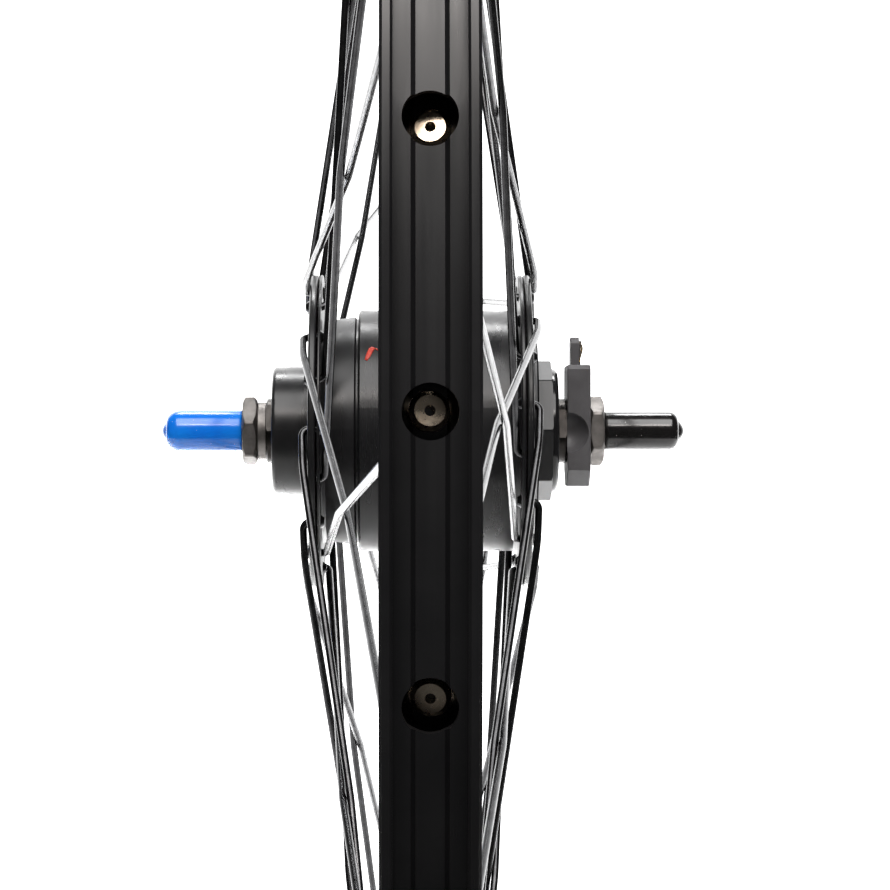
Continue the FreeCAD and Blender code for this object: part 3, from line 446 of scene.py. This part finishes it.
def make_cap(node, side, radius, nub, dome, material, slot):
    """A dipped cap with a domed end and a blunt drip at its tip, hollow as far as the axle's end."""
    nub_length, nub_radius = nub
    profile = [(CAP_FLOOR, 0.0), (CAP_FLOOR, CAP_BORE - 1.0), (CAP_FLOOR - AXLE_CHAMFER, CAP_BORE)]
    profile += [(CAP_MOUTH + 0.3, CAP_BORE), (CAP_MOUTH, CAP_BORE + 0.3)]
    profile += [(CAP_MOUTH, radius - 0.4), (CAP_MOUTH + 0.1, radius - 0.15), (CAP_MOUTH + 0.4, radius)]
    for step in range(DOME_STEPS + 1):
        turn = math.pi / 2.0 * step / DOME_STEPS
        rise = nub_radius + (radius - nub_radius) * math.cos(turn)
        profile.append((CAP_TIP - nub_length - dome * (1.0 - math.sin(turn)), rise))
    for step in range(1, NUB_STEPS + 1):
        left = 1.0 - step / NUB_STEPS
        profile.append((CAP_TIP - nub_length * left, nub_radius * left ** NUB_ROUNDING))
    points = []
    for y, away in profile:
        for column in range(CAP_SIDES):
            angle = math.tau * column / CAP_SIDES * side
            points.append((away * math.cos(angle) * MM, y * side * MM, away * math.sin(angle) * MM))
    cap = mesh_piece(node + "_dipped", points, grid_faces(len(profile), CAP_SIDES, True), material, *slot)
    shape = bmesh.new()
    shape.from_mesh(cap.data)
    bmesh.ops.remove_doubles(shape, verts=shape.verts, dist=0.0000001)
    bmesh.ops.recalc_face_normals(shape, faces=shape.faces)
    shape.to_mesh(cap.data)
    shape.free()
    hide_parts(node)


def soften_edges(names):
    """Narrow rounded edges on nodes whose edges catch the light."""
    for name in names:
        weld = NODES[name].modifiers.new("weld", "WELD")
        weld.merge_threshold = 0.000002
        bevel = NODES[name].modifiers.new("edges", "BEVEL")
        bevel.width = EDGE_WIDTH
        bevel.segments = 2
        bevel.limit_method = "ANGLE"
        bevel.angle_limit = math.radians(28.0)


# The paint mark's stroke as (place along the axle, height) and its half widths, in millimetres
DRUM_RADIUS, PAINT_LIFT = 33.35, 0.04
STROKE = [
    (-15.6, 18.8), (-15.1, 19.8), (-14.6, 20.9), (-14.1, 21.9),
    (-13.5, 22.3), (-12.9, 22.1), (-12.5, 21.5),
]
STROKE_HALF_WIDTHS = [0.35, 0.55, 0.6, 0.6, 0.5, 0.4, 0.25]


def make_paint_mark():
    """A small hand-painted red check mark on the drum."""
    radius = DRUM_RADIUS + PAINT_LIFT
    points = []
    for (y, z), width in zip(STROKE, STROKE_HALF_WIDTHS):
        for side in (-width, -width / 2, width / 2, width):
            angle = math.asin((z - side * 0.5) / radius)
            lift = radius + (0.05 if abs(side) < width else 0.0)
            points.append((lift * math.cos(angle) * MM, (y + side) * MM, lift * math.sin(angle) * MM))
    paint = Finish("red_paint", IOR=1.48)
    paint.shades(paint.noise(900.0), (0.55, 0.035, 0.02), (0.80, 0.09, 0.05))
    paint.gloss(paint.noise(1500.0), 0.3, 0.5)
    paint.relief((paint.noise(1100.0), 0.00004))
    faces = grid_faces(len(STROKE), 4, closed=False)
    mark = mesh_piece("paint_mark", points, faces, paint.material, "wheel", "black_anodised")
    solid = mark.modifiers.new("thickness", "SOLIDIFY")
    solid.thickness = 0.00005


# ---------------------------------------------------------------- stage


CAMERA_PLACE = (0.889, -0.0037, -0.007)
CAMERA_DIRECTION = (-1.0, 0.01094, 0.00344)
CAMERA_LENS = 129.4
FLOOR_RADIUS, FLOOR_CENTRE_X, FLOOR_GAP = 0.8, -0.5, 0.0005
WORLD_BEHIND, WORLD_IN_FRONT = 2.7, 0.06


def aim(thing, target):
    """Point a camera or a light at a place."""
    thing.rotation_mode = "QUATERNION"
    thing.rotation_quaternion = (Vector(target) - thing.location).to_track_quat("-Z", "Y")


def make_camera():
    """A long lens level with the axle, looking along -X at the rim's edge."""
    data = bpy.data.cameras.new("camera")
    data.lens = CAMERA_LENS
    data.sensor_width = 36.0
    data.clip_start = 0.01
    data.clip_end = 20.0
    camera = bpy.data.objects.new("camera", data)
    camera.location = CAMERA_PLACE
    bpy.context.scene.collection.objects.link(camera)
    aim(camera, camera.location + Vector(CAMERA_DIRECTION))
    bpy.context.scene.camera = camera


def soft_light(name, place, target, width, height, power, colour):
    """A rectangular soft box."""
    data = bpy.data.lights.new(name, "AREA")
    data.shape = "RECTANGLE"
    data.size = width
    data.size_y = height
    data.energy = power
    data.color = colour
    light = bpy.data.objects.new(name, data)
    light.location = place
    bpy.context.scene.collection.objects.link(light)
    aim(light, target)
    return data


def make_world():
    """White surroundings that are darker in front of the wheel than behind it."""
    world = bpy.data.worlds.new("studio")
    world.use_nodes = True
    bpy.context.scene.world = world
    tree = world.node_tree
    background = tree.nodes["Background"]
    background.inputs["Strength"].default_value = 1.0
    place = tree.nodes.new("ShaderNodeTexCoord")
    parts = tree.nodes.new("ShaderNodeSeparateXYZ")
    fade = tree.nodes.new("ShaderNodeMapRange")
    fade.interpolation_type = "SMOOTHSTEP"
    seen = tree.nodes.new("ShaderNodeLightPath")
    level = tree.nodes.new("ShaderNodeMath")
    level.operation = "MAXIMUM"
    tree.links.new(place.outputs["Generated"], parts.inputs["Vector"])
    tree.links.new(parts.outputs["X"], fade.inputs["Value"])
    limits = [("From Min", -0.85), ("From Max", -0.4), ("To Min", WORLD_BEHIND), ("To Max", WORLD_IN_FRONT)]
    for socket, number in limits:
        fade.inputs[socket].default_value = number
    tree.links.new(fade.outputs["Result"], level.inputs[0])
    tree.links.new(seen.outputs["Is Camera Ray"], level.inputs[1])
    tree.links.new(level.outputs["Value"], background.inputs["Color"])


def make_stage():
    """A round pale floor just under the rim, and the lights."""
    low = cad_box[0].z
    floor_mesh = bpy.data.meshes.new("floor")
    shape = bmesh.new()
    bmesh.ops.create_circle(shape, cap_ends=True, segments=96, radius=FLOOR_RADIUS)
    shape.to_mesh(floor_mesh)
    shape.free()
    floor = bpy.data.objects.new("floor", floor_mesh)
    floor.location = (FLOOR_CENTRE_X, 0.0, low - FLOOR_GAP)
    bpy.context.scene.collection.objects.link(floor)
    skin = Finish("pale_floor", Specular_IOR_Level=0.2)
    skin.shades(skin.noise(3.0), (0.80, 0.80, 0.80), (0.84, 0.84, 0.84))
    skin.gloss(skin.noise(8.0), 0.6, 0.75)
    floor_mesh.materials.append(skin.material)
    soft_light("key", (1.12, 0.0, 1.40), (0.0, 0.0, 0.0), 1.8, 1.4, 38.0, (1.0, 0.99, 0.98))
    soft_light("strip", (1.49, 0.0, 1.01), (0.0, 0.0, 0.0), 1.2, 0.05, 5.0, (1.0, 0.90, 0.84))
    over = soft_light("floor_light", (-1.0, 0.0, 1.2), (-0.8, 0.0, -0.3), 1.6, 1.0, 30.0, (1.0, 1.0, 1.0))
    over.spread = math.radians(50.0)
    view = bpy.context.scene.view_settings
    view.view_transform = "Standard"
    view.look = "None"


# ---------------------------------------------------------------- the whole scene

make_camera()
make_world()
make_stage()
MATERIALS = finishes()
dress_nodes(MATERIALS)
make_axle(MATERIALS["axle_steel"])
make_tongue(MATERIALS["connector_plastic"])
make_contacts(MATERIALS["gilded_contact"])
make_paint_mark()
make_cap(
    "axle_cap_left", -1, 5.7, (1.25, 2.7), 4.1, MATERIALS["blue_vinyl"], ("cap_left", "blue_vinyl"),
)
make_cap(
    "axle_cap_right", 1, 5.35, (1.8, 3.3), 2.5, MATERIALS["black_vinyl"], ("cap_right", "black_vinyl"),
)
soften_edges(("locknut_left", "locknut_right", "connector_body"))
